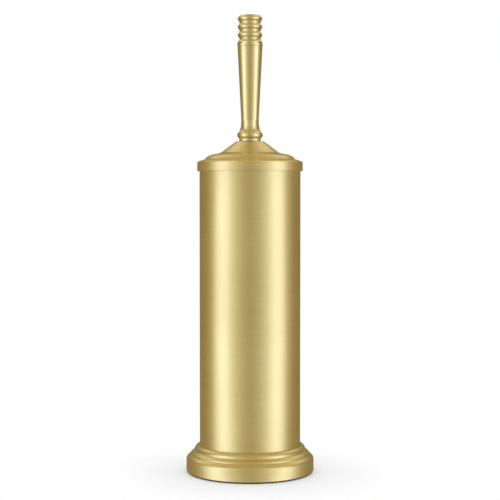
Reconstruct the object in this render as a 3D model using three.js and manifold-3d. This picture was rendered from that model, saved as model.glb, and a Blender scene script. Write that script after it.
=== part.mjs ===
// Toilet plunger in a free-standing canister. Millimetres, +Z up, origin on the floor under the centre
// of the foot. The lid rides on the plunger's rod and rests on the canister's rim; the rubber cup stands
// in a lift-out drip tray at the bottom of the canister.
import * as THREE from "three";
import { mergeVertices } from "three/addons/utils/BufferGeometryUtils.js";
import Module from "manifold-3d";

const wasm = await Module();
wasm.setup();

// ---- Driving dimensions ----
const GAP = 0.3; // between pieces that touch
const ROUND = 32; // sides of a large round piece
const HANDLE_ROUND = 24; // sides of the handle and the cup's neck
const SMALL_ROUND = 16; // sides of a rod or screw

const TOTAL_H = 577;
const TUBE_R = 63.7;
const TUBE_WALL = 1;
const TUBE_BOTTOM_Z = 27;
const TUBE_TOP_Z = 387.2;
const RIM_CURL = 0.8; // how far the rolled rim stands into the mouth; the tray still passes it

const FOOT_R = 80.7;
const FOOT_WALL = 1.6;
const FOOT_TOP_Z = 34.5;
const PAD_R = 79.6;
const PAD_H = 2.3;
const PLATE_Z = PAD_H + GAP + 0.5;
const PLATE_T = 1.6;
const BALLAST_H = 11;
const FLOOR_Z = 28.6; // underside of the canister's inner floor
const FLOOR_T = 1.4;
const SCREWS = 4;
const SCREW_CIRCLE_R = 40;
const SCREW_R = 2;

const TRAY_R = 61.4;
const TRAY_WALL = 1.8;
const TRAY_H = 58;
const TRAY_Z = FLOOR_Z + FLOOR_T + GAP;

const LID_R = 67;
const LID_WALL = 1;
const LID_RIM_Z = 380;
const LID_EDGE_Z = 389.8; // where the skirt meets the rounded edge
const LID_BAND_R = 58.8; // inner edge of the shallow band round the dome
const LID_SHOULDER_R = 36.2; // foot of the cone
const LID_CONE_Z = 403.7;
const LID_TOP_R = 17.8;
const LID_TOP_Z = 418.2;

const RING_R = 13.7;
const RING_Z = LID_TOP_Z + GAP;
const RING_H = 3;
const GRIP_Z = RING_Z + RING_H + GAP;
const COLLAR_R = 16.2;
const COLLAR_Z = 426.3;
const WAIST_R = 10.95;
const WAIST_Z = 444;
const GRIP_TOP_R = 15.7;
const GRIP_TOP_Z = 536.9;
const GRIP_WALL = 1.6;
const CAP_Z = GRIP_TOP_Z + GAP;
const SHOULDER_R = 16.1;
const SHOULDER_Z = 540.6;
const RIBS = 3;
const RIB_PITCH = 10.2;
const RIB_R = 15.55;
const VALLEY_R = 13.4;
const TOP_RIB_Z = 572.4;
const CAP_TOP_R = 12.2;

const STUD_R = 3.8;
const HOLE_R = STUD_R + GAP;
const ROD_R = 9;
const ROD_WALL = 1.2;
const ROD_BOTTOM_Z = 146;
const ROD_TOP_Z = 407.6;
const PLUG_H = 26; // threaded plugs pressed into the ends of the rod

const CUP_R = 58;
const CUP_LIP_Z = 74;
const CUP_LIP_H = 11;
const WEB_T = 4; // flat rubber web between the lip and the flange
const CUP_WALL = 3.6;
const CUP_CROWN_Z = 122; // top of the dome, where the neck starts
const CUP_TOP_Z = 138; // top of the neck, inside the ferrule
const CUP_NECK_R = 17;
const FLANGE_R = 38;
const FLANGE_WALL = 3.6;
const FLANGE_Z = 40;
const FERRULE_R = 19;
const FERRULE_WALL = 1.5;
const WASHER_T = 2;

// ---- Helpers ----
const p = (r, z) => new THREE.Vector2(r, z);

// Points along an ellipse's edge, from one angle to another in degrees.
function arc(cr, cz, ar, az, from, to, steps = 5) {
  return Array.from({ length: steps + 1 }, (_, i) => {
    const a = THREE.MathUtils.degToRad(from + ((to - from) * i) / steps);
    return p(cr + ar * Math.cos(a), cz + az * Math.sin(a));
  });
}

// A solid of revolution about +Z. The outline runs anticlockwise in (radius, height); a ring's closes.
function lathe(points, sides = ROUND) {
  const onAxis = points[0].x === 0 && points.at(-1).x === 0;
  const outline = onAxis ? points : [...points, points[0].clone()];
  return new THREE.LatheGeometry(outline, sides).rotateX(Math.PI / 2);
}

// A plain ring or tube.
function ring(inner, outer, low, high, sides = ROUND) {
  return lathe([p(inner, low), p(outer, low), p(outer, high), p(inner, high)], sides);
}

// A plain cylinder.
function rod(radius, low, high, sides = SMALL_ROUND) {
  return lathe([p(0, low), p(radius, low), p(radius, high), p(0, high)], sides);
}

// The outline of a spun sheet: the outer line from its free edge to its hole, and the same line inset.
function sheet(outer, wall) {
  const inner = outer.map((point, i) => {
    const before = outer[Math.max(i - 1, 0)];
    const after = outer[Math.min(i + 1, outer.length - 1)];
    const along = after.clone().sub(before).normalize();
    return p(point.x - along.y * wall, point.y + along.x * wall);
  });
  return [...outer, ...inner.reverse()];
}

function solid(geometry) {
  const bare = geometry.clone().deleteAttribute("normal").deleteAttribute("uv");
  const merged = mergeVertices(bare, 1e-3);
  return new wasm.Manifold(
    new wasm.Mesh({
      numProp: 3,
      vertProperties: merged.attributes.position.array,
      triVerts: new Uint32Array(merged.index.array),
    }),
  );
}

function geometryOf(manifold) {
  const mesh = manifold.getMesh();
  return new THREE.BufferGeometry()
    .setAttribute("position", new THREE.BufferAttribute(mesh.vertProperties, 3))
    .setIndex(new THREE.BufferAttribute(mesh.triVerts, 1));
}

// The places of the base screws, evenly round the axis.
const screwPlaces = Array.from({ length: SCREWS }, (_, i) => {
  const a = Math.PI / 2 + (2 * Math.PI * i) / SCREWS;
  return [SCREW_CIRCLE_R * Math.cos(a), SCREW_CIRCLE_R * Math.sin(a)];
});

// The body with a hole of this radius at each screw's place.
function drilled(body, radius, low, high) {
  return screwPlaces.reduce(
    (left, [x, y]) => left.subtract(solid(rod(radius, low, high).translate(x, y, 0))),
    body,
  );
}

function hexPrism(acrossFlats, holeRadius, height) {
  const corner = acrossFlats / Math.sqrt(3);
  const shape = new THREE.Shape();
  for (let i = 0; i < 6; i++) {
    const a = (Math.PI / 3) * i;
    const move = i ? "lineTo" : "moveTo";
    shape[move](corner * Math.cos(a), corner * Math.sin(a));
  }
  shape.closePath();
  shape.holes.push(new THREE.Path().absarc(0, 0, holeRadius, 0, 2 * Math.PI, true));
  return new THREE.ExtrudeGeometry(shape, {
    depth: height,
    bevelEnabled: false,
    curveSegments: SMALL_ROUND / 2,
  });
}

const finish = (color, roughness, metalness) =>
  new THREE.MeshStandardMaterial({ color, roughness, metalness });
const gold = () => finish(0xc9a75c, 0.3, 1);
const steel = () => finish(0xb8b9bb, 0.35, 1);
const zincSteel = () => finish(0x9b9da0, 0.5, 1);
const iron = () => finish(0x3b3b3d, 0.8, 1);
const rubber = () => finish(0x17171a, 0.7, 0);
const plastic = () => finish(0xe6e3dc, 0.45, 0);

function part(name, geometry, material) {
  const mesh = new THREE.Mesh(geometry, material);
  mesh.name = name;
  return mesh;
}

// ---- Canister ----
function canisterTube() {
  const inner = TUBE_R - TUBE_WALL;
  const rim = TUBE_TOP_Z - TUBE_WALL;
  return lathe([
    p(inner, TUBE_BOTTOM_Z),
    p(TUBE_R, TUBE_BOTTOM_Z),
    ...arc(TUBE_R - TUBE_WALL, rim, TUBE_WALL, TUBE_WALL, 0, 90, 3),
    p(inner - RIM_CURL, TUBE_TOP_Z),
    p(inner - RIM_CURL, rim),
    p(inner, rim),
  ]);
}

// The inner floor of the tube, with a blind boss under it for each base screw.
function canisterFloor() {
  const bossLow = PLATE_Z + PLATE_T + GAP;
  const disc = solid(rod(TUBE_R - TUBE_WALL - GAP, FLOOR_Z, FLOOR_Z + FLOOR_T, ROUND));
  const bossed = screwPlaces.reduce(
    (body, [x, y]) => body.add(solid(rod(2 * SCREW_R + 1, bossLow, FLOOR_Z + 0.2).translate(x, y, 0))),
    disc,
  );
  return geometryOf(drilled(bossed, SCREW_R + GAP, bossLow - 1, FLOOR_Z - 4));
}

// The stepped foot: a large bead round the tube, a small one under it, a sloping shoulder and a wall that
// flares slightly; open below.
function baseMoulding() {
  const bore = TUBE_R + GAP;
  const beadZ = 28.2; // middle of the large bead
  const beadR = 70.1;
  const outer = [
    p(FOOT_R + 0.1, PAD_H + GAP),
    p(FOOT_R, 9),
    ...arc(FOOT_R - 1.6, 15.4, 1.6, 2, 0, 50, 2),
    p(75.3, 22.2),
    ...arc(73.1, 23.6, 1.8, 1.8, 0, 80, 3),
    p(71.2, 26.1),
    p(beadR, 26.7),
    ...arc(bore + 0.3, beadZ, beadR - bore - 0.3, FOOT_TOP_Z - beadZ, 0, 90, 5),
    p(bore, FOOT_TOP_Z),
  ];
  return lathe([
    ...outer,
    p(bore, 24.5),
    p(67.5, 24.1),
    p(73.6, 20.1),
    p(FOOT_R - FOOT_WALL, 14.6),
    p(FOOT_R - FOOT_WALL, PAD_H + GAP),
  ]);
}

function basePlate() {
  const plate = solid(rod(FOOT_R - FOOT_WALL - GAP, PLATE_Z, PLATE_Z + PLATE_T, ROUND));
  return geometryOf(drilled(plate, SCREW_R + GAP, PLATE_Z - 1, PLATE_Z + PLATE_T + 1));
}

function ballastDisc() {
  const low = PLATE_Z + PLATE_T + GAP;
  const disc = solid(rod(56, low, low + BALLAST_H, ROUND));
  return geometryOf(drilled(disc, 2 * SCREW_R + 1 + GAP, low - 1, low + BALLAST_H + 1));
}

function baseScrew(x, y) {
  const head = PLATE_Z - GAP;
  return lathe(
    [
      p(0, 1),
      p(2.6, 1),
      p(3.8, 1.7),
      p(3.8, head),
      p(SCREW_R, head),
      p(SCREW_R, FLOOR_Z - 6),
      p(0, FLOOR_Z - 6),
    ],
    SMALL_ROUND,
  ).translate(x, y, 0);
}

// ---- Tray ----
function dripTray() {
  const top = TRAY_Z + TRAY_H;
  return lathe([
    p(0, TRAY_Z),
    p(TRAY_R - 4, TRAY_Z),
    ...arc(TRAY_R - 4, TRAY_Z + 4, 4, 4, -60, 0, 2),
    p(TRAY_R, top),
    p(TRAY_R - TRAY_WALL, top),
    ...arc(TRAY_R - 5, TRAY_Z + 5, 5 - TRAY_WALL, 5 - TRAY_WALL, 0, -90, 3),
    p(0, TRAY_Z + TRAY_WALL),
  ]);
}

// ---- Lid ----
function lidCover() {
  const outer = [
    p(LID_R, LID_RIM_Z),
    ...arc(LID_R - 2.2, LID_EDGE_Z, 2.2, 2.3, 0, 75, 3),
    p(61, 393.8),
    p(LID_BAND_R, 394.8),
    ...arc(49, 394.4, LID_BAND_R - 49.2, 6.3, 20, 75, 4),
    p(42, 402.2),
    p(LID_SHOULDER_R, LID_CONE_Z),
    p(LID_TOP_R, LID_TOP_Z - 0.4),
    p(LID_TOP_R - 0.8, LID_TOP_Z),
    p(HOLE_R, LID_TOP_Z),
  ];
  return lathe(sheet(outer, LID_WALL));
}

// A plastic ring that centres the skirt on the tube and lies on the tube's rim.
function lidLiner() {
  const outer = LID_R - LID_WALL - GAP;
  const seat = TUBE_TOP_Z + GAP;
  return lathe([
    p(TUBE_R + GAP, LID_RIM_Z + 0.8),
    p(outer, LID_RIM_Z + 0.8),
    p(outer, seat + 0.6),
    p(outer - 1.4, seat + 1.8),
    p(56, seat + 1.8),
    p(56, seat),
    p(TUBE_R + GAP, seat),
  ]);
}

// ---- Handle ----
function handleCap() {
  const ribs = [];
  const stepsPerRib = 8;
  const middle = (RIB_R + VALLEY_R) / 2;
  const swing = (RIB_R - VALLEY_R) / 2;
  const lowest = -RIBS * stepsPerRib + stepsPerRib / 2;
  for (let i = lowest; i <= 1; i++) {
    const turn = i / stepsPerRib;
    ribs.push(p(middle + swing * Math.cos(2 * Math.PI * turn), TOP_RIB_Z + RIB_PITCH * turn));
  }
  const spigot = GRIP_TOP_R - GRIP_WALL - 1.4; // clears the tapering bore all the way down
  return lathe([
    p(0, CAP_Z - 16),
    p(spigot, CAP_Z - 16),
    p(spigot, CAP_Z),
    p(GRIP_TOP_R + 0.1, CAP_Z),
    p(SHOULDER_R, SHOULDER_Z - 0.9),
    ...arc(SHOULDER_R - 2.6, SHOULDER_Z, 2.6, 6, 10, 80, 4),
    ...ribs,
    p(14.2, TOTAL_H - 1.6),
    p(CAP_TOP_R + 0.9, TOTAL_H - 0.3),
    p(CAP_TOP_R, TOTAL_H),
    p(0, TOTAL_H),
  ], HANDLE_ROUND);
}

// The tapered sleeve of the handle and its flared collar.
function handleGrip() {
  const core = WAIST_R - GRIP_WALL;
  return lathe([
    p(core, GRIP_Z),
    p(14, GRIP_Z),
    ...arc(13.4, COLLAR_Z, COLLAR_R - 13.4, COLLAR_Z - GRIP_Z - 0.4, -70, 30, 5),
    p(14.4, 430),
    p(12.9, 432.9),
    p(11.8, 436),
    p(11.2, 440),
    p(WAIST_R, WAIST_Z),
    p(GRIP_TOP_R, GRIP_TOP_Z),
    p(GRIP_TOP_R - GRIP_WALL, GRIP_TOP_Z),
    p(core, WAIST_Z),
  ], HANDLE_ROUND);
}

// The threaded insert inside the sleeve, which the stud screws into.
const handleInsert = () => ring(HOLE_R, WAIST_R - GRIP_WALL - GAP, GRIP_Z + 1, GRIP_Z + 41, SMALL_ROUND);

// ---- Rod and cup ----
const nutTop = LID_TOP_Z - LID_WALL - GAP - 1.8 - GAP;

function rodPlug(low) {
  return ring(HOLE_R, ROD_R - ROD_WALL - GAP, low, low + PLUG_H, SMALL_ROUND);
}

// The metal cap over the rubber neck; the rod's end stands on it.
function cupFerrule() {
  const top = ROD_BOTTOM_Z - GAP;
  const hole = STUD_R + GAP;
  const low = CUP_CROWN_Z + 1.5;
  const bore = FERRULE_R - FERRULE_WALL;
  return lathe([
    p(bore, low),
    p(FERRULE_R, low),
    p(FERRULE_R, CUP_TOP_Z),
    p(12, top),
    p(hole, top),
    p(hole, top - 3),
    p(11.4, top - 3),
    p(bore, CUP_TOP_Z + GAP),
  ], HANDLE_ROUND);
}

// The dome of the rubber cup, from its neck to the stiff lip.
function cupBell() {
  const low = CUP_LIP_Z + CUP_LIP_H + GAP;
  const rise = CUP_CROWN_Z - low;
  const width = CUP_R - 1 - CUP_NECK_R;
  const outer = arc(CUP_NECK_R, low, width, rise, 0, 84, 7);
  const inner = arc(CUP_NECK_R, low, width - CUP_WALL, rise - CUP_WALL, 90, 0, 7);
  const hole = STUD_R + GAP;
  return lathe([
    ...outer,
    p(CUP_NECK_R, CUP_CROWN_Z + 1),
    p(CUP_NECK_R, CUP_TOP_Z),
    p(hole, CUP_TOP_Z),
    p(hole, CUP_CROWN_Z - CUP_WALL),
    ...inner,
  ]);
}

// The stiff lip of the cup and the flat web that carries the flange.
function cupLip() {
  const top = CUP_LIP_Z + CUP_LIP_H;
  const wall = CUP_R - 1;
  return lathe([
    p(FLANGE_R - FLANGE_WALL, CUP_LIP_Z),
    p(wall, CUP_LIP_Z),
    p(CUP_R, CUP_LIP_Z + 2),
    p(CUP_R, CUP_LIP_Z + 5),
    p(wall, CUP_LIP_Z + 7),
    p(wall, top),
    p(wall - CUP_WALL, top),
    p(wall - CUP_WALL, CUP_LIP_Z + WEB_T),
    p(FLANGE_R - FLANGE_WALL, CUP_LIP_Z + WEB_T),
  ]);
}

// The narrower flange that hangs from the web into the bowl's outlet, drawn in a little at its tip.
function cupFlange() {
  const top = CUP_LIP_Z - GAP;
  const bend = FLANGE_Z + 20;
  return lathe([
    p(FLANGE_R - FLANGE_WALL, FLANGE_Z),
    p(FLANGE_R - 2, FLANGE_Z),
    p(FLANGE_R, bend),
    p(FLANGE_R, top),
    p(FLANGE_R - FLANGE_WALL, top),
  ]);
}

// The bolt that clamps the cup to the rod, its domed head inside the cup.
function cupBolt() {
  const seat = CUP_CROWN_Z - CUP_WALL - GAP - WASHER_T - GAP;
  return lathe(
    [
      p(0, seat - 5),
      p(4, seat - 4.4),
      p(7, seat - 2.2),
      p(7.4, seat),
      p(STUD_R, seat),
      p(STUD_R, ROD_BOTTOM_Z + PLUG_H - 4),
      p(0, ROD_BOTTOM_Z + PLUG_H - 4),
    ],
    SMALL_ROUND,
  );
}

function cupWasher() {
  const top = CUP_CROWN_Z - CUP_WALL - GAP;
  return ring(STUD_R + GAP, 14, top - WASHER_T, top, SMALL_ROUND);
}

// ---- Assembly ----
const canister = new THREE.Group();
canister.add(
  part("canister_tube", canisterTube(), gold()),
  part("canister_floor", canisterFloor(), zincSteel()),
  part("base_moulding", baseMoulding(), gold()),
  part("base_plate", basePlate(), zincSteel()),
  part("ballast_disc", ballastDisc(), iron()),
  part("foot_pad", ring(56, PAD_R, 0, PAD_H), rubber()),
  ...screwPlaces.map(([x, y], i) => part(`base_screw_${i + 1}`, baseScrew(x, y), steel())),
);

const tray = new THREE.Group();
tray.add(part("drip_tray", dripTray(), plastic()));

const studLow = ROD_TOP_Z - PLUG_H + 3;
const discTop = LID_TOP_Z - LID_WALL - GAP;
const nut = hexPrism(13, HOLE_R, 6.5).translate(0, 0, nutTop - 6.5);
const plunger = new THREE.Group();
plunger.add(
  part("handle_cap", handleCap(), gold()),
  part("handle_grip", handleGrip(), gold()),
  part("handle_insert", handleInsert(), zincSteel()),
  part("neck_ring", ring(HOLE_R, RING_R, RING_Z, RING_Z + RING_H, HANDLE_ROUND), gold()),
  part("handle_stud", rod(STUD_R, studLow, GRIP_Z + 36), steel()),
  part("lid_cover", lidCover(), gold()),
  part("lid_liner", lidLiner(), plastic()),
  part("lid_disc", ring(HOLE_R, 14, discTop - 1.8, discTop, SMALL_ROUND), zincSteel()),
  part("lid_nut", nut, zincSteel()),
  part("rod_tube", ring(ROD_R - ROD_WALL, ROD_R, ROD_BOTTOM_Z, ROD_TOP_Z, SMALL_ROUND), steel()),
  part("rod_plug_top", rodPlug(ROD_TOP_Z - PLUG_H), zincSteel()),
  part("rod_plug_bottom", rodPlug(ROD_BOTTOM_Z), zincSteel()),
  part("cup_ferrule", cupFerrule(), steel()),
  part("cup_bell", cupBell(), rubber()),
  part("cup_washer", cupWasher(), steel()),
  part("cup_bolt", cupBolt(), steel()),
);

const cupRim = new THREE.Group();
cupRim.add(part("cup_lip", cupLip(), rubber()), part("cup_flange", cupFlange(), rubber()));

const model = new THREE.Group();
model.add(canister, tray, plunger, cupRim);

export default model;
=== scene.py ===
"""A gold toilet plunger in its canister: the looks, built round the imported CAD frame. Metres, +Z up.

Outlines are written in millimetres as (radius, height, corner radius) and turned about the Z axis. Their
outer sizes come from the frame; the numbers beside them are the shape's own steps and radii.
"""
import math

import bmesh
import bpy
from mathutils import Euler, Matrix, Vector


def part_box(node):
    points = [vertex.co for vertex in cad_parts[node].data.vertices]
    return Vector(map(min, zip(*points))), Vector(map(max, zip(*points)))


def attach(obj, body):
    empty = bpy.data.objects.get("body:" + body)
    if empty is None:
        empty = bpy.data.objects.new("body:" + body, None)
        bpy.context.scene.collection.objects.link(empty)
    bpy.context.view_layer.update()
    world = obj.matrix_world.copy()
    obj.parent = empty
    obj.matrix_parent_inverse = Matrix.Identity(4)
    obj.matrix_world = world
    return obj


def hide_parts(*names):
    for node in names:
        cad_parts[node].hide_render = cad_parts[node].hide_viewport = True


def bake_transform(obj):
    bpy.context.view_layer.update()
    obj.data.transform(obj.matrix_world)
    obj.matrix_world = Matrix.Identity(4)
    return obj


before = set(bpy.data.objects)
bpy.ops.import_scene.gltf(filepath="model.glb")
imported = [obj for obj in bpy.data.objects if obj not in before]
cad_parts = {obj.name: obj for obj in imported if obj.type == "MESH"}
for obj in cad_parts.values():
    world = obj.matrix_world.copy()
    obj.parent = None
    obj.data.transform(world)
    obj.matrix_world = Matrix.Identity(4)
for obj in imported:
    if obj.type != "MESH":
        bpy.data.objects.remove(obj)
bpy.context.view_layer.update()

MM = 0.001
LARGE_SIDES = 192
MEDIUM_SIDES = 128
SMALL_SIDES = 64
CORNER_STEPS = 5
SUPPORT = 0.25  # mm from a rounded corner to the edge loop that keeps the flat beside it flat
SHARP_ANGLE = math.radians(32)  # edges of a cut piece that are sharper than this are shaded as edges
LEVEL = 0.9999  # how upright a normal is on a level face

# The camera: a little lower than the lid's rim, and tipped down to centre the object.
CAMERA_DISTANCE = 1.68
CAMERA_HEIGHT = 0.3485
CAMERA_TILT = math.radians(2.296)
CAMERA_LENS = 95.68

# ---- Outlines ----


def extent(node):
    """Outer radius, lowest and highest height of a round CAD node, in millimetres."""
    low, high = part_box(node)
    return high.x / MM, low.z / MM, high.z / MM


def arc(centre_r, centre_z, radius_r, radius_z, start, end, steps=10):
    """Sharp points along an ellipse's edge, angles in degrees."""
    made = []
    for i in range(steps + 1):
        a = math.radians(start + (end - start) * i / steps)
        made.append((centre_r + radius_r * math.cos(a), centre_z + radius_z * math.sin(a), 0))
    return made


def rounded(corners, closed):
    """The outline with each corner that has a radius replaced by an arc and two supporting points."""
    made = []
    count = len(corners)
    for i, (r, z, radius) in enumerate(corners):
        here = Vector((r, z))
        if radius == 0 or (not closed and i in (0, count - 1)):
            made.append(here)
            continue
        before = Vector(corners[i - 1][:2]) - here
        after = Vector(corners[(i + 1) % count][:2]) - here
        half = before.angle(after) / 2
        cut = min(radius / math.tan(half), 0.45 * before.length, 0.45 * after.length)
        if cut < 0.01:  # the outline runs straight on
            made.append(here)
            continue
        true_radius = cut * math.tan(half)
        u, v = before.normalized(), after.normalized()
        centre = here + (u + v).normalized() * (true_radius / math.sin(half))
        first, last = here + u * cut - centre, here + v * cut - centre
        if before.length > 3 * cut + 4 * SUPPORT:
            made.append(here + u * (cut + SUPPORT))
        turn = first.angle_signed(last)
        for k in range(CORNER_STEPS + 1):
            a = -turn * k / CORNER_STEPS
            ca, sa = math.cos(a), math.sin(a)
            made.append(centre + Vector((first.x * ca - first.y * sa, first.x * sa + first.y * ca)))
        if after.length > 3 * cut + 4 * SUPPORT:
            made.append(here + v * (cut + SUPPORT))
    return made


def turned(name, corners, sides=LARGE_SIDES):
    """A solid of revolution about Z. An outline with both ends on the axis is solid, any other is a ring."""
    solid = corners[0][0] == 0 and corners[-1][0] == 0
    outline = rounded(corners, closed=not solid)
    bm = bmesh.new()
    columns = []
    for r, z in outline:
        if r < 1e-6:
            columns.append([bm.verts.new((0, 0, z * MM))] * sides)
            continue
        angles = [2 * math.pi * k / sides for k in range(sides)]
        columns.append([bm.verts.new((r * math.cos(a) * MM, r * math.sin(a) * MM, z * MM)) for a in angles])
    pairs = list(zip(columns[:-1], columns[1:]))
    if not solid:
        pairs.append((columns[-1], columns[0]))
    for low, high in pairs:
        for k in range(sides):
            m = (k + 1) % sides
            corners_of_face = []
            for vert in (low[k], low[m], high[m], high[k]):
                if vert not in corners_of_face:
                    corners_of_face.append(vert)
            if len(corners_of_face) > 2:
                bm.faces.new(corners_of_face)
    bmesh.ops.recalc_face_normals(bm, faces=bm.faces)
    mesh = bpy.data.meshes.new(name)
    bm.to_mesh(mesh)
    bm.free()
    mesh.shade_smooth()
    made = bpy.data.objects.new(name, mesh)
    bpy.context.scene.collection.objects.link(made)
    return made


def cut(target, tool):
    """Takes the tool's shape out of the target, deletes the tool, and keeps level faces and edges crisp."""
    boolean = target.modifiers.new("cut", "BOOLEAN")
    boolean.operation = "DIFFERENCE"
    boolean.solver = "EXACT"
    boolean.object = tool
    bake_modifiers(target)
    target.data.set_sharp_from_angle(angle=SHARP_ANGLE)
    for face in target.data.polygons:
        if abs(face.normal.z) > LEVEL:
            face.use_smooth = False
    bpy.data.objects.remove(tool)


def bake_modifiers(target):
    graph = bpy.context.evaluated_depsgraph_get()
    mesh = bpy.data.meshes.new_from_object(target.evaluated_get(graph))
    target.modifiers.clear()
    target.data = mesh


def settle(piece, material, slot, body, *nodes):
    """Gives the piece its material, and puts it on its body in place of the CAD nodes."""
    piece.data.materials.clear()
    piece.data.materials.append(material)
    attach(piece, body)
    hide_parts(*nodes)


# ---- Materials ----

GOLD_BRIGHT = (0.84, 0.75, 0.45)
GOLD_DEEP = (0.79, 0.68, 0.38)
LINE_HEIGHT = 0.00006  # metres, the depth of the brushed lines before each metal's own strength


class Nodes:
    """Short calls for building one material's node tree."""

    def __init__(self, name):
        self.material = bpy.data.materials.new(name)
        self.material.use_nodes = True
        self.tree = self.material.node_tree
        self.shader = self.tree.nodes["Principled BSDF"]
        self.place = self.new("ShaderNodeTexCoord").outputs["Object"]

    def new(self, kind):
        return self.tree.nodes.new(kind)

    def link(self, a, b):
        self.tree.links.new(a, b)

    def feed(self, value, socket):
        if isinstance(value, (int, float)):
            socket.default_value = value
        else:
            self.link(value, socket)

    def math(self, operation, a, b=0.0):
        node = self.new("ShaderNodeMath")
        node.operation = operation
        self.feed(a, node.inputs[0])
        self.feed(b, node.inputs[1])
        return node.outputs[0]

    def vector(self, x, y, z):
        node = self.new("ShaderNodeCombineXYZ")
        for value, socket in zip((x, y, z), node.inputs):
            self.feed(value, socket)
        return node.outputs[0]

    def noise(self, place, scale, detail=2.0, roughness=0.5):
        node = self.new("ShaderNodeTexNoise")
        self.link(place, node.inputs["Vector"])
        node.inputs["Scale"].default_value = scale
        node.inputs["Detail"].default_value = detail
        node.inputs["Roughness"].default_value = roughness
        return node.outputs["Fac"]

    def span(self, value, low, high, from_low=0.3, from_high=0.7):
        node = self.new("ShaderNodeMapRange")
        self.link(value, node.inputs["Value"])
        node.inputs["From Min"].default_value = from_low
        node.inputs["From Max"].default_value = from_high
        node.inputs["To Min"].default_value = low
        node.inputs["To Max"].default_value = high
        return node.outputs["Result"]

    def blend(self, factor, a, b):
        node = self.new("ShaderNodeMix")
        node.data_type = "RGBA"
        self.feed(factor, node.inputs["Factor"])
        for colour, socket in ((a, node.inputs["A"]), (b, node.inputs["B"])):
            if isinstance(colour, tuple):
                socket.default_value = (*colour, 1)
            else:
                self.link(colour, socket)
        return node.outputs["Result"]

    def bump(self, height, strength, distance):
        node = self.new("ShaderNodeBump")
        node.inputs["Strength"].default_value = strength
        node.inputs["Distance"].default_value = distance
        self.link(height, node.inputs["Height"])
        return node.outputs["Normal"]

    def turning_lines(self, per_metre, wander=3.0):
        """Noise drawn out into fine lines round the Z axis, as a lathe or a brushing belt leaves them."""
        split = self.new("ShaderNodeSeparateXYZ")
        self.link(self.place, split.inputs[0])
        x, y, z = split.outputs
        squared = self.math("ADD", self.math("MULTIPLY", x, x), self.math("MULTIPLY", y, y))
        radius = self.math("SQRT", squared)
        safe = self.math("MAXIMUM", radius, 0.0005)
        along = self.math("MULTIPLY", self.math("ADD", z, radius), per_metre)
        turn_x = self.math("MULTIPLY", self.math("DIVIDE", x, safe), wander)
        turn_y = self.math("MULTIPLY", self.math("DIVIDE", y, safe), wander)
        return self.vector(turn_x, turn_y, along)


def gold(name, roughness, line_strength, line_depth, bright=GOLD_BRIGHT, deep=GOLD_DEEP):
    """Satin gold plate on brushed steel: fine lines round the axis, soft smudges, a slow drift of colour."""
    n = Nodes(name)
    fine = n.noise(n.turning_lines(1900), 1.0, 2.0, 0.6)
    coarse = n.noise(n.turning_lines(420, 1.2), 1.0, 3.0, 0.65)
    smudge = n.noise(n.place, 26.0, 4.0, 0.55)
    drift = n.noise(n.place, 9.0, 2.0, 0.5)
    lines = n.math("ADD", n.math("MULTIPLY", fine, 0.55), n.math("MULTIPLY", coarse, 0.45))
    colour = n.blend(n.span(drift, 0.0, 1.0), bright, deep)
    shade = n.span(lines, 1.0 - line_strength, 1.0 + line_strength)
    tinted = n.new("ShaderNodeVectorMath")
    tinted.operation = "SCALE"
    n.link(colour, tinted.inputs[0])
    n.link(shade, tinted.inputs["Scale"])
    n.link(tinted.outputs["Vector"], n.shader.inputs["Base Color"])
    rough = n.math("ADD", n.span(lines, roughness - 0.03, roughness + 0.03), n.span(smudge, -0.012, 0.02))
    n.link(rough, n.shader.inputs["Roughness"])
    n.link(n.bump(lines, line_depth, LINE_HEIGHT), n.shader.inputs["Normal"])
    n.shader.inputs["Metallic"].default_value = 1.0
    return n.material


def steel(name, colour, roughness, lines_per_metre=1600):
    """Plain or plated steel, turned or drawn, with slightly dulled patches."""
    n = Nodes(name)
    lines = n.noise(n.turning_lines(lines_per_metre), 1.0, 3.0, 0.6)
    patch = n.noise(n.place, 60.0, 4.0, 0.6)
    dull = tuple(0.84 * c for c in colour)
    n.link(n.blend(n.span(patch, 0.0, 0.6), colour, dull), n.shader.inputs["Base Color"])
    rough = n.math("ADD", n.span(lines, roughness - 0.03, roughness + 0.03), n.span(patch, -0.02, 0.05))
    n.link(rough, n.shader.inputs["Roughness"])
    n.link(n.bump(lines, 0.12, LINE_HEIGHT), n.shader.inputs["Normal"])
    n.shader.inputs["Metallic"].default_value = 1.0
    return n.material


def iron():
    """A raw iron casting: dark, grainy, with a few rust-brown patches."""
    n = Nodes("cast_iron_skin")
    grain = n.noise(n.place, 900.0, 3.0, 0.7)
    patch = n.noise(n.place, 35.0, 5.0, 0.6)
    colour = n.blend(n.span(patch, 0.0, 0.8, 0.5, 0.75), (0.045, 0.045, 0.048), (0.11, 0.055, 0.03))
    n.link(colour, n.shader.inputs["Base Color"])
    n.link(n.span(grain, 0.6, 0.9), n.shader.inputs["Roughness"])
    n.link(n.bump(grain, 0.6, 0.0004), n.shader.inputs["Normal"])
    n.shader.inputs["Metallic"].default_value = 0.7
    return n.material


def rubber(name, tone, grain_size=1400.0):
    """Moulded black rubber: fine pebbled skin with a faint grey bloom."""
    n = Nodes(name)
    grain = n.noise(n.place, grain_size, 3.0, 0.6)
    bloom = n.noise(n.place, 22.0, 4.0, 0.6)
    dark = (tone, tone, tone * 1.05)
    grey = (tone * 2.6, tone * 2.6, tone * 2.5)
    n.link(n.blend(n.span(bloom, 0.0, 0.7, 0.42, 0.75), dark, grey), n.shader.inputs["Base Color"])
    n.link(n.math("ADD", n.span(grain, 0.4, 0.52), n.span(bloom, -0.04, 0.12)), n.shader.inputs["Roughness"])
    n.link(n.bump(grain, 0.25, 0.00015), n.shader.inputs["Normal"])
    n.shader.inputs["Specular IOR Level"].default_value = 0.45
    return n.material


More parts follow.
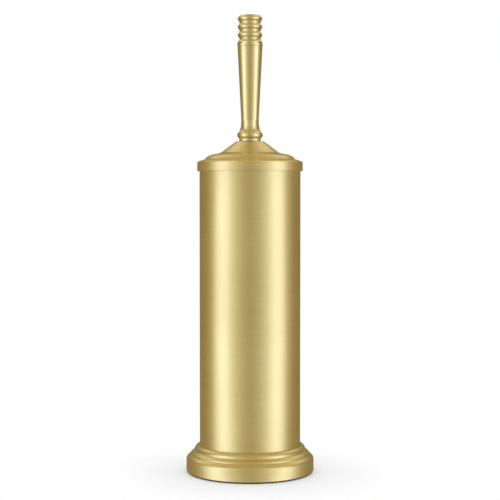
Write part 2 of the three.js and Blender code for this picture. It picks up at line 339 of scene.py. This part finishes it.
def plastic():
    """Moulded off-white polypropylene: waxy, finely textured, with a slight drift in its whiteness."""
    n = Nodes("polypropylene")
    grain = n.noise(n.place, 1800.0, 2.0, 0.5)
    drift = n.noise(n.place, 14.0, 3.0, 0.5)
    colour = n.blend(n.span(drift, 0.0, 1.0), (0.80, 0.79, 0.75), (0.74, 0.73, 0.68))
    n.link(colour, n.shader.inputs["Base Color"])
    n.link(n.span(grain, 0.34, 0.46), n.shader.inputs["Roughness"])
    n.link(n.bump(grain, 0.12, 0.0001), n.shader.inputs["Normal"])
    n.shader.inputs["Subsurface Weight"].default_value = 0.15
    n.shader.inputs["Subsurface Radius"].default_value = (0.003, 0.003, 0.0025)
    n.shader.inputs["Subsurface Scale"].default_value = 1.0
    return n.material


GOLD = gold("gold_spun", 0.30, 0.06, 0.26)
TUBE_GOLD = gold("gold_tube", 0.28, 0.015, 0.06)
HANDLE_GOLD = gold("gold_handle", 0.20, 0.03, 0.14, (0.86, 0.79, 0.51), (0.81, 0.73, 0.44))
RING_GOLD = gold("gold_ring", 0.24, 0.02, 0.12, (0.95, 0.88, 0.68), (0.92, 0.84, 0.62))
STAINLESS = steel("stainless", (0.66, 0.67, 0.69), 0.22)
ZINC = steel("zinc_plate", (0.50, 0.51, 0.53), 0.40, 900)
IRON = iron()
RUBBER = rubber("cup_rubber", 0.011)
PAD_RUBBER = rubber("pad_rubber", 0.008, 2200.0)
PLASTIC = plastic()

# ---- Canister ----


def canister_tube():
    outer, low, high = extent("canister_tube")
    wall = 1.0
    curl = 0.8
    inner = outer - wall
    piece = turned("tube_shell", [
        (inner, low, 0.2), (outer, low, 0.2), (outer, high, 0.9),
        (inner - curl, high, 0.4), (inner - curl, high - 1.4, 0.3), (inner, high - 2.2, 0.4),
    ])
    settle(piece, TUBE_GOLD, "tube_gold", "canister", "canister_tube")


def base_moulding():
    foot, low, high = extent("base_moulding")
    bore = extent("canister_tube")[0] + 0.3
    wall = 1.6
    hem = low - 0.8  # the wall reaches down over the pad's edge
    piece = turned("foot_moulding", [
        (foot - wall, hem, 0.3), (foot, hem, 0.5), *arc(foot - 6, low + 13.3, 6, 6, 5, 45, 10),
        (foot - 4.6, low + 20.1, 0.2), (foot - 5.7, low + 20.3, 0.1),
        (foot - 5.8, low + 21.9, 0.9), (foot - 8.2, low + 23.9, 1.2),
        (foot - 10.6, low + 25.0, 0.1), *arc(bore + 0.3, 28.6, foot - bore - 10.8, high - 28.6, -4, 84, 14),
        (bore, high, 0.1), (bore, low + 22, 0.3), (67.5, low + 21.5, 0.5), (73.6, low + 17.6, 1),
        (foot - wall, low + 12, 1),
    ])
    settle(piece, GOLD, "satin_gold", "canister", "base_moulding")


def foot_pad():
    _, low, high = extent("foot_pad")
    inner, edge = 56, extent("base_moulding")[0] - 1.9  # the edge stands inside the moulding's wall
    piece = turned("foot_ring_pad", [
        (inner, low, 0.3), (edge, low, 0.4), (edge, high, 0.4), (inner, high, 0.3),
    ])
    settle(piece, PAD_RUBBER, "foot_rubber", "canister", "foot_pad")


def screw_places():
    """The centres of the four base screws, in millimetres."""
    for i in range(1, 5):
        low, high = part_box(f"base_screw_{i}")
        yield i, (low.x + high.x) / 2 / MM, (low.y + high.y) / 2 / MM


def screw_holes(piece, radius, low, high):
    for _, x, y in screw_places():
        drill = turned("drill", [(0, low, 0), (radius, low, 0), (radius, high, 0), (0, high, 0)], 32)
        drill.location = (x * MM, y * MM, 0)
        cut(piece, drill)


def base_plate():
    outer, low, high = extent("base_plate")
    piece = turned("bottom_plate", [
        (0, low, 0), (52, low, 0), (52.8, low + 0.35, 0.3), (54.2, low + 0.35, 0.3), (55, low, 0.3),
        (outer, low, 0.3), (outer, high, 0.3), (0, high, 0),
    ])
    screw_holes(piece, 2.3, low - 1, high + 1)
    settle(piece, ZINC, "zinc_plated", "canister", "base_plate")


def ballast_disc():
    outer, low, high = extent("ballast_disc")
    piece = turned("ballast_casting", [(0, low, 0), (outer, low, 0.8), (outer, high, 1.2), (0, high, 0)])
    screw_holes(piece, 5.3, low - 1, high + 1)
    settle(piece, IRON, "ballast_iron", "canister", "ballast_disc")


def canister_floor():
    outer, boss_low, high = extent("canister_floor")
    thick = 1.4
    disc = turned("inner_floor", [
        (0, high - thick, 0), (outer, high - thick, 0.3), (outer, high, 0.3), (0, high, 0),
    ])
    settle(disc, ZINC, "zinc_plated", "canister", "canister_floor")
    for i, x, y in screw_places():
        boss = turned(f"screw_boss_{i}", [
            (2.3, boss_low, 0.1), (5, boss_low, 0.4), (5, high - thick, 0), (2.3, high - thick, 0),
        ], SMALL_SIDES)
        move_mesh(boss, x, y)
        settle(boss, ZINC, "zinc_plated", "canister")


def base_screws():
    for i, x, y in screw_places():
        low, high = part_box(f"base_screw_{i}")
        bottom, top = low.z / MM, high.z / MM
        head = extent("base_plate")[1] - 0.3
        screw = turned(f"pan_screw_{i}", [
            (0, bottom, 0), (2.8, bottom, 0.8), (3.8, bottom + 0.8, 0.5), (3.8, head, 0.2), (2, head, 0.1),
            (2, top, 0.6), (0, top, 0),
        ], SMALL_SIDES)
        cross_recess(screw, bottom)
        move_mesh(screw, x, y)
        settle(screw, STAINLESS, "stainless", "canister", f"base_screw_{i}")


def move_mesh(piece, x, y):
    for vertex in piece.data.vertices:
        vertex.co += Vector((x, y, 0)) * MM


def cross_recess(screw, bottom):
    """Cuts a cross-shaped driver recess into a head that faces down."""
    for turn in (0, math.pi / 2):
        bpy.ops.mesh.primitive_cube_add(size=1)
        blade = bpy.context.object
        blade.scale = (4.2 * MM, 0.8 * MM, 2.4 * MM)
        blade.rotation_euler = (0, 0, turn + math.pi / 4)
        blade.location = (0, 0, bottom * MM)
        bpy.context.view_layer.update()
        cut(screw, blade)


# ---- Tray ----


def drip_tray():
    outer, low, high = extent("drip_tray")
    wall = 1.8
    piece = turned("tray_cup", [
        (0, low + 0.7, 0), (46, low + 0.7, 0.4), (48, low, 0.4), (outer - 2, low, 2), (outer, low + 3, 3),
        (outer, high - 4.5, 0.2), (outer, high, 0.7), (outer - wall, high, 0.7),
        (outer - wall, low + wall, 3.4), (40, low + wall, 0.3), (39, low + wall + 0.8, 0.4),
        (36.5, low + wall + 0.8, 0.4), (35.5, low + wall, 0.3), (0, low + wall, 0),
    ])
    settle(piece, PLASTIC, "white_plastic", "tray", "drip_tray")


# ---- Lid ----


def lid_cover():
    outer, low, high = extent("lid_cover")
    wall = 1.0
    hole = 4.1
    edge = high - 26.1  # where the rim's upright face ends
    rim = outer - 0.4
    skirt = low + 0.7
    skin = [
        (rim, skirt, 0.5), (rim, edge, 1.7), (65.2, edge + 0.8, 0.8), (59.0, edge + 3.1, 0.6),
        *arc(39.5, edge + 2.15, 17.5, 8.3, 8, 84, 16),
        (36.3, high - 13.9, 1.2), (17.9, high - 0.2, 0.7), (hole, high, 0),
    ]
    lining = [
        (hole, high - wall, 0), (17.2, high - wall, 0.5), (36, high - 15.1, 1),
        *arc(39.5, edge + 1.6, 16.6, 7.8, 84, 8, 16),
        (58.6, edge + 2.1, 0.6), (65, edge - 0.3, 0.8), (outer - wall, edge - 0.9, 0.9),
        (outer - wall, skirt, 0.15),
    ]
    piece = turned("lid_shell", skin + lining)
    settle(piece, GOLD, "satin_gold", "plunger", "lid_cover")


def lid_liner():
    outer, low, high = extent("lid_liner")
    inner = extent("canister_tube")[0] + 0.3
    seat = high - 1.8
    piece = turned("lid_lining_ring", [
        (inner, low, 0.5), (outer, low, 0.3), (outer, high - 1.2, 0.3), (outer - 1.4, high, 0.6),
        (56, high, 0.5), (56, seat, 0.5), (inner, seat, 0.3),
    ])
    settle(piece, PLASTIC, "white_plastic", "plunger", "lid_liner")


def plain_ring(name, node, inner, body, slot, material, corner=0.4, sides=MEDIUM_SIDES):
    """A washer, bush or tube with softened edges, as large as its CAD node."""
    outer, low, high = extent(node)
    piece = turned(name, [
        (inner, low, corner), (outer, low, corner), (outer, high, corner), (inner, high, corner),
    ], sides)
    settle(piece, material, slot, body, node)


def lid_nut():
    low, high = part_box("lid_nut")
    flats = (high.y - low.y) / MM
    bottom, top = low.z / MM, high.z / MM
    corner = high.x / MM
    hole, face, chamfer = 4.1, flats / 2 - 0.2, 1.1
    blank = turned("hex_nut", [
        (hole, bottom, 0.3), (face, bottom, 0), (corner + 0.1, bottom + chamfer, 0),
        (corner + 0.1, top - chamfer, 0), (face, top, 0), (hole, top, 0.3),
    ], MEDIUM_SIDES)
    bm = bmesh.new()
    wide, tall = corner * MM, 3 * (top - bottom) * MM
    bmesh.ops.create_cone(bm, cap_ends=True, segments=6, radius1=wide, radius2=wide, depth=tall)
    bmesh.ops.transform(bm, matrix=Euler((0, 0, math.pi / 6)).to_matrix().to_4x4(), verts=bm.verts)
    bmesh.ops.translate(bm, vec=(0, 0, (bottom + top) / 2 * MM), verts=bm.verts)
    mesh = bpy.data.meshes.new("hex_prism")
    bm.to_mesh(mesh)
    bm.free()
    prism = bpy.data.objects.new("hex_prism", mesh)
    bpy.context.scene.collection.objects.link(prism)
    both = blank.modifiers.new("hex", "BOOLEAN")
    both.operation = "INTERSECT"
    both.solver = "EXACT"
    both.object = prism
    bake_modifiers(blank)
    bpy.data.objects.remove(prism)
    blank.data.shade_flat()
    settle(blank, ZINC, "zinc_plated", "plunger", "lid_nut")


# ---- Handle ----


def handle_cap():
    outer, low, high = extent("handle_cap")
    seam = extent("handle_grip")[2] + 0.15
    shoulder = 539.8
    ribs, pitch, steps = 3, 10.2, 14
    rib, valley = 15.45, 13.2
    top_rib = high - 5.3
    wave = []  # the ribs, from the shoulder up to just past the top one's crest
    for i in range(-ribs * steps + steps // 2, 3):
        turn = 2 * math.pi * i / steps
        swell = 0.5 + 0.5 * (math.cos(turn) - 0.1 * math.cos(3 * turn)) / 0.9
        wave.append((valley + (rib - valley) * swell, top_rib + pitch * i / steps, 0))
    spigot = 12.7
    piece = turned("ribbed_cap", [
        (0, low, 0), (spigot, low, 0.6), (spigot, seam, 0), (15.7, seam, 0.15), (outer - 0.15, shoulder, 2.5),
        (15.5, shoulder + 2.9, 1.6), (13.7, shoulder + 5.1, 0.9), *wave,
        (14.2, high - 2.8, 1.2), (12.4, high - 1, 0.8), (6, high - 0.2, 8), (0, high, 0),
    ], MEDIUM_SIDES)
    settle(piece, HANDLE_GOLD, "handle_gold", "plunger", "handle_cap")


def handle_grip():
    outer, low, high = extent("handle_grip")
    top, waist, waist_z, wall = 15.7, 10.95, 444.0, 1.6
    collar_r, collar_z = 12.9, 426.2
    piece = turned("tapered_grip", [
        (waist - wall, low, 0.3), (13.9, low, 0.4),
        *arc(collar_r, collar_z, outer - collar_r, 4.0, -62, 70, 14),
        (13.5, collar_z + 4.5, 0.3), (12.3, collar_z + 7.2, 3), (11.4, collar_z + 11, 6),
        (waist, waist_z, 16),
        (top, high, 0.15), (top - wall, high, 0.2), (waist - wall, waist_z, 6),
    ], MEDIUM_SIDES)
    settle(piece, HANDLE_GOLD, "handle_gold", "plunger", "handle_grip")


def threaded(name, node, pitch, body, slot, material):
    """A stud with rolled grooves, as wide as its CAD node."""
    outer, bottom, top = extent(node)
    turns = int((top - bottom - 1.2) / pitch)
    grooves = []
    for i in range(turns):
        z = bottom + 0.6 + i * pitch
        grooves += [(outer - 0.45, z, 0.05), (outer, z + pitch / 2, 0.08)]
    piece = turned(name, [
        (0, bottom, 0), (outer - 0.6, bottom, 0), *grooves, (outer - 0.6, top, 0), (0, top, 0),
    ], SMALL_SIDES)
    settle(piece, material, slot, body, node)


# ---- Rod and cup ----


def cup_ferrule():
    outer, low, high = extent("cup_ferrule")
    bore = outer - 1.5
    piece = turned("neck_ferrule", [
        (bore, low, 0.4), (outer, low, 0.5), (outer, low + 2.6, 0.3), (outer - 0.5, low + 3.1, 0.3),
        (outer - 0.5, low + 4.1, 0.3), (outer, low + 4.6, 0.3), (outer, high - 7.7, 2.4), (12, high, 1.6),
        (4.1, high, 0.3), (4.1, high - 3, 0.2), (11.4, high - 3, 1.2), (bore, high - 7.4, 1),
    ], MEDIUM_SIDES)
    settle(piece, STAINLESS, "stainless", "plunger", "cup_ferrule")


def cup_bolt():
    outer, low, high = extent("cup_bolt")
    seat = low + 5
    piece = turned("clamp_bolt", [
        (0, low, 0), (3.4, low, 0.8), (6.4, low + 1.8, 2.4), (outer, low + 3.9, 0.8), (outer, seat, 0.3),
        (3.8, seat, 0.2), (3.8, high, 0.6), (0, high, 0),
    ], SMALL_SIDES)
    cross_recess(piece, low)
    settle(piece, STAINLESS, "stainless", "plunger", "cup_bolt")


def rubber_cup():
    """The whole cup as one moulding: neck, dome, beaded lip and the flange inside it."""
    lip_r, lip_low, lip_high = extent("cup_lip")
    flange_r, flange_low, _ = extent("cup_flange")
    neck_r = 17.0
    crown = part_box("cup_bell")[1].z / MM - 16
    neck_top = crown + 16
    wall = 3.6
    web = 4.0
    body_r = lip_r - 1
    dome_low = lip_high + 0.3
    rise = crown - dome_low
    reach = body_r - neck_r
    hole = 4.1
    piece = turned("rubber_cup", [
        (flange_r - wall, flange_low, 0.9), (flange_r - 2, flange_low, 1.0), (flange_r, flange_low + 20, 30),
        (flange_r, lip_low, 1.6), (body_r, lip_low, 1.5), (lip_r, lip_low + 1.6, 1.2),
        (lip_r, lip_low + 5, 1.2), (body_r, lip_low + 6.6, 1.0), (body_r, lip_high - 0.5, 2),
        *arc(neck_r, dome_low, reach, rise, 2, 84, 28),
        (neck_r, crown + 0.6, 1.2), (neck_r, neck_top, 0.8), (hole, neck_top, 0.3),
        (hole, crown - wall, 0.3), (neck_r - 2, crown - wall, 0.6),
        *arc(neck_r, dome_low, reach - wall, rise - wall, 84, 2, 28),
        (body_r - wall, lip_low + web, 2.2), (flange_r + 0.6, lip_low + web, 1.6),
        (flange_r - wall, lip_low + web - 1.4, 1.6),
    ])
    piece.data.materials.append(RUBBER)
    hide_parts("cup_bell", "cup_lip", "cup_flange")
    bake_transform(piece)


canister_tube()
base_moulding()
foot_pad()
base_plate()
ballast_disc()
canister_floor()
base_screws()
drip_tray()
lid_cover()
lid_liner()
plain_ring("lid_backing_disc", "lid_disc", 4.1, "plunger", "zinc_plated", ZINC)
lid_nut()
handle_cap()
handle_grip()
plain_ring("handle_bush", "handle_insert", 4.1, "plunger", "zinc_plated", ZINC, 0.3, SMALL_SIDES)
plain_ring("collar_ring", "neck_ring", 4.1, "plunger", "handle_gold", RING_GOLD, 0.5)
threaded("centre_stud", "handle_stud", 1.25, "plunger", "stainless", STAINLESS)
plain_ring("plunger_rod", "rod_tube", 7.8, "plunger", "stainless", STAINLESS, 0.35)
plain_ring("top_plug", "rod_plug_top", 4.1, "plunger", "zinc_plated", ZINC, 0.3, SMALL_SIDES)
plain_ring("bottom_plug", "rod_plug_bottom", 4.1, "plunger", "zinc_plated", ZINC, 0.3, SMALL_SIDES)
cup_ferrule()
plain_ring("clamp_washer", "cup_washer", 4.1, "plunger", "stainless", STAINLESS, 0.3, SMALL_SIDES)
cup_bolt()
rubber_cup()

# ---- Studio ----

FLOOR_RADIUS = 3.0
FLOOR_HEIGHT = -0.0003  # just under the foot, so that the two faces don't fight
FADE_FROM, FADE_TO = 0.14, 0.24  # where the floor begins and ends its fade into the backdrop


def floor():
    """A plain white floor that catches the soft shadow under the foot and fades out into the backdrop."""
    n = Nodes("floor_white")
    mottle = n.noise(n.place, 5.0, 2.0, 0.5)
    away = n.new("ShaderNodeVectorMath")
    away.operation = "LENGTH"
    n.link(n.place, away.inputs[0])
    colour = n.blend(n.span(mottle, 0.0, 1.0), (0.80, 0.80, 0.81), (0.78, 0.78, 0.79))
    n.link(colour, n.shader.inputs["Base Color"])
    fade = n.new("ShaderNodeMixShader")
    n.link(n.span(away.outputs["Value"], 0.0, 1.0, FADE_FROM, FADE_TO), fade.inputs["Fac"])
    n.link(n.shader.outputs["BSDF"], fade.inputs[1])
    n.link(n.new("ShaderNodeBsdfTransparent").outputs["BSDF"], fade.inputs[2])
    n.link(fade.outputs["Shader"], n.tree.nodes["Material Output"].inputs["Surface"])
    n.shader.inputs["Roughness"].default_value = 0.9
    n.shader.inputs["Specular IOR Level"].default_value = 0.0
    n.shader.inputs["Emission Color"].default_value = (1, 1, 1, 1)
    n.shader.inputs["Emission Strength"].default_value = 0.15
    bm = bmesh.new()
    bmesh.ops.create_circle(bm, cap_ends=True, segments=96, radius=FLOOR_RADIUS)
    bmesh.ops.translate(bm, vec=(0, 0, FLOOR_HEIGHT), verts=bm.verts)
    mesh = bpy.data.meshes.new("studio_floor")
    bm.to_mesh(mesh)
    bm.free()
    plane = bpy.data.objects.new("studio_floor", mesh)
    bpy.context.scene.collection.objects.link(plane)
    plane.data.materials.append(n.material)
    plane.visible_glossy = False
    plane.visible_shadow = False


def studio_world():
    """A white backdrop, lit by a warm room with a tall soft box on each side of the camera."""
    world = bpy.data.worlds.new("studio")
    world.use_nodes = True
    bpy.context.scene.world = world
    tree = world.node_tree
    tree.nodes.clear()

    def new(kind, **values):
        node = tree.nodes.new(kind)
        for key, value in values.items():
            setattr(node, key, value)
        return node

    def math_node(operation, a, b=None):
        node = new("ShaderNodeMath", operation=operation)
        for value, socket in zip((a, b), node.inputs):
            if value is None:
                continue
            if isinstance(value, (int, float)):
                socket.default_value = value
            else:
                tree.links.new(value, socket)
        return node.outputs[0]

    def fill(ramp, stops, full):
        points = ramp.color_ramp.elements
        while len(points) < len(stops):
            points.new(0.5)
        for point, (place, colour) in zip(points, stops):
            point.position = place / full
            point.color = (*colour, 1)

    split = new("ShaderNodeSeparateXYZ")
    tree.links.new(new("ShaderNodeTexCoord").outputs["Generated"], split.inputs[0])
    x, y, z = split.outputs
    side = math_node("ABSOLUTE", x)
    front = math_node("MULTIPLY", y, -1.0)
    azimuth = math_node("DIVIDE", math_node("ARCTAN2", side, front), math.pi)
    rising = math_node("MULTIPLY", math_node("ADD", z, 0.08), 0.3)
    falling = math_node("MULTIPLY", math_node("ADD", z, 0.16), -2.0)
    lean = math_node("MINIMUM", math_node("MAXIMUM", math_node("MAXIMUM", rising, falling), 0.0), 0.07)
    azimuth = math_node("ADD", azimuth, lean)  # the soft boxes lean in at both ends

    ramp = new("ShaderNodeValToRGB")
    ramp.color_ramp.interpolation = "EASE"
    tree.links.new(azimuth, ramp.inputs["Fac"])
    # Colour of the room by angle from the camera's side: 0 is behind the camera, 180 behind the object.
    fill(ramp, [
        (0, (0.35, 0.295, 0.15)), (21, (0.50, 0.43, 0.25)), (45, (0.76, 0.70, 0.50)),
        (58, (1.27, 1.28, 1.27)), (79, (1.34, 1.36, 1.35)), (97, (0.55, 0.46, 0.25)),
        (120, (0.34, 0.25, 0.10)), (150, (0.27, 0.20, 0.08)), (180, (0.26, 0.20, 0.09)),
    ], 180)
    def smooth(value, low, high):
        node = new("ShaderNodeMapRange", interpolation_type="SMOOTHSTEP")
        tree.links.new(value, node.inputs["Value"])
        node.inputs["From Min"].default_value = low
        node.inputs["From Max"].default_value = high
        return node.outputs["Result"]

    def mixed(factor, a, b):
        node = new("ShaderNodeMix", data_type="RGBA")
        tree.links.new(factor, node.inputs["Factor"])
        for colour, socket in ((a, node.inputs["A"]), (b, node.inputs["B"])):
            if isinstance(colour, tuple):
                socket.default_value = (*colour, 1)
            else:
                tree.links.new(colour, socket)
        return node.outputs["Result"]

    # Above and below the soft boxes the room is darker, less so out to the sides than overhead. High behind
    # the object, to each side, there is a glow.
    above = mixed(smooth(side, 0.10, 0.42), (0.50, 0.37, 0.145), (0.58, 0.49, 0.26))
    glow = math_node("MULTIPLY", smooth(side, 0.0, 0.34), smooth(y, 0.10, 0.50))
    glow = math_node("MULTIPLY", glow, smooth(y, 0.95, 0.60))
    above = mixed(glow, above, (0.90, 0.81, 0.57))
    below = mixed(smooth(side, 0.10, 0.42), (0.33, 0.26, 0.12), (0.48, 0.40, 0.23))
    room = mixed(smooth(z, 0.30, 0.66), ramp.outputs["Color"], above)
    room = mixed(smooth(z, -0.50, -0.80), room, below)

    # Reflections see the room, plain surfaces are lit by an even white, and the camera sees white. Light that
    # the metal throws on to plain surfaces is kept low, so the shadow at the foot stays soft and grey.
    path = new("ShaderNodeLightPath").outputs
    thrown = mixed(math_node("MINIMUM", path["Diffuse Depth"], 1.0), room, (0.16, 0.16, 0.17))
    seen = mixed(path["Is Glossy Ray"], (1.08, 1.08, 1.08), thrown)
    seen = mixed(path["Is Camera Ray"], seen, (1.0, 1.0, 1.0))
    background = new("ShaderNodeBackground")
    tree.links.new(seen, background.inputs["Color"])
    tree.links.new(background.outputs["Background"], new("ShaderNodeOutputWorld").inputs["Surface"])


def overhead_light():
    """A large soft light straight above, which makes the shadow round the foot."""
    data = bpy.data.lights.new("overhead", "AREA")
    data.shape = "DISK"
    data.size = 1.6
    data.energy = 5
    data.color = (1, 0.98, 0.95)
    light = bpy.data.objects.new("overhead", data)
    light.location = (0, 0, 2.2)
    light.visible_glossy = False
    light.visible_camera = False
    bpy.context.scene.collection.objects.link(light)


def camera():
    data = bpy.data.cameras.new("camera")
    data.lens = CAMERA_LENS
    data.sensor_width = 36
    made = bpy.data.objects.new("camera", data)
    made.location = (0, -CAMERA_DISTANCE, CAMERA_HEIGHT)
    made.rotation_euler = (math.pi / 2 - CAMERA_TILT, 0, 0)
    bpy.context.scene.collection.objects.link(made)
    bpy.context.scene.camera = made


floor()
studio_world()
overhead_light()
camera()
bpy.context.scene.view_settings.view_transform = "Standard"
bpy.context.scene.view_settings.look = "None"
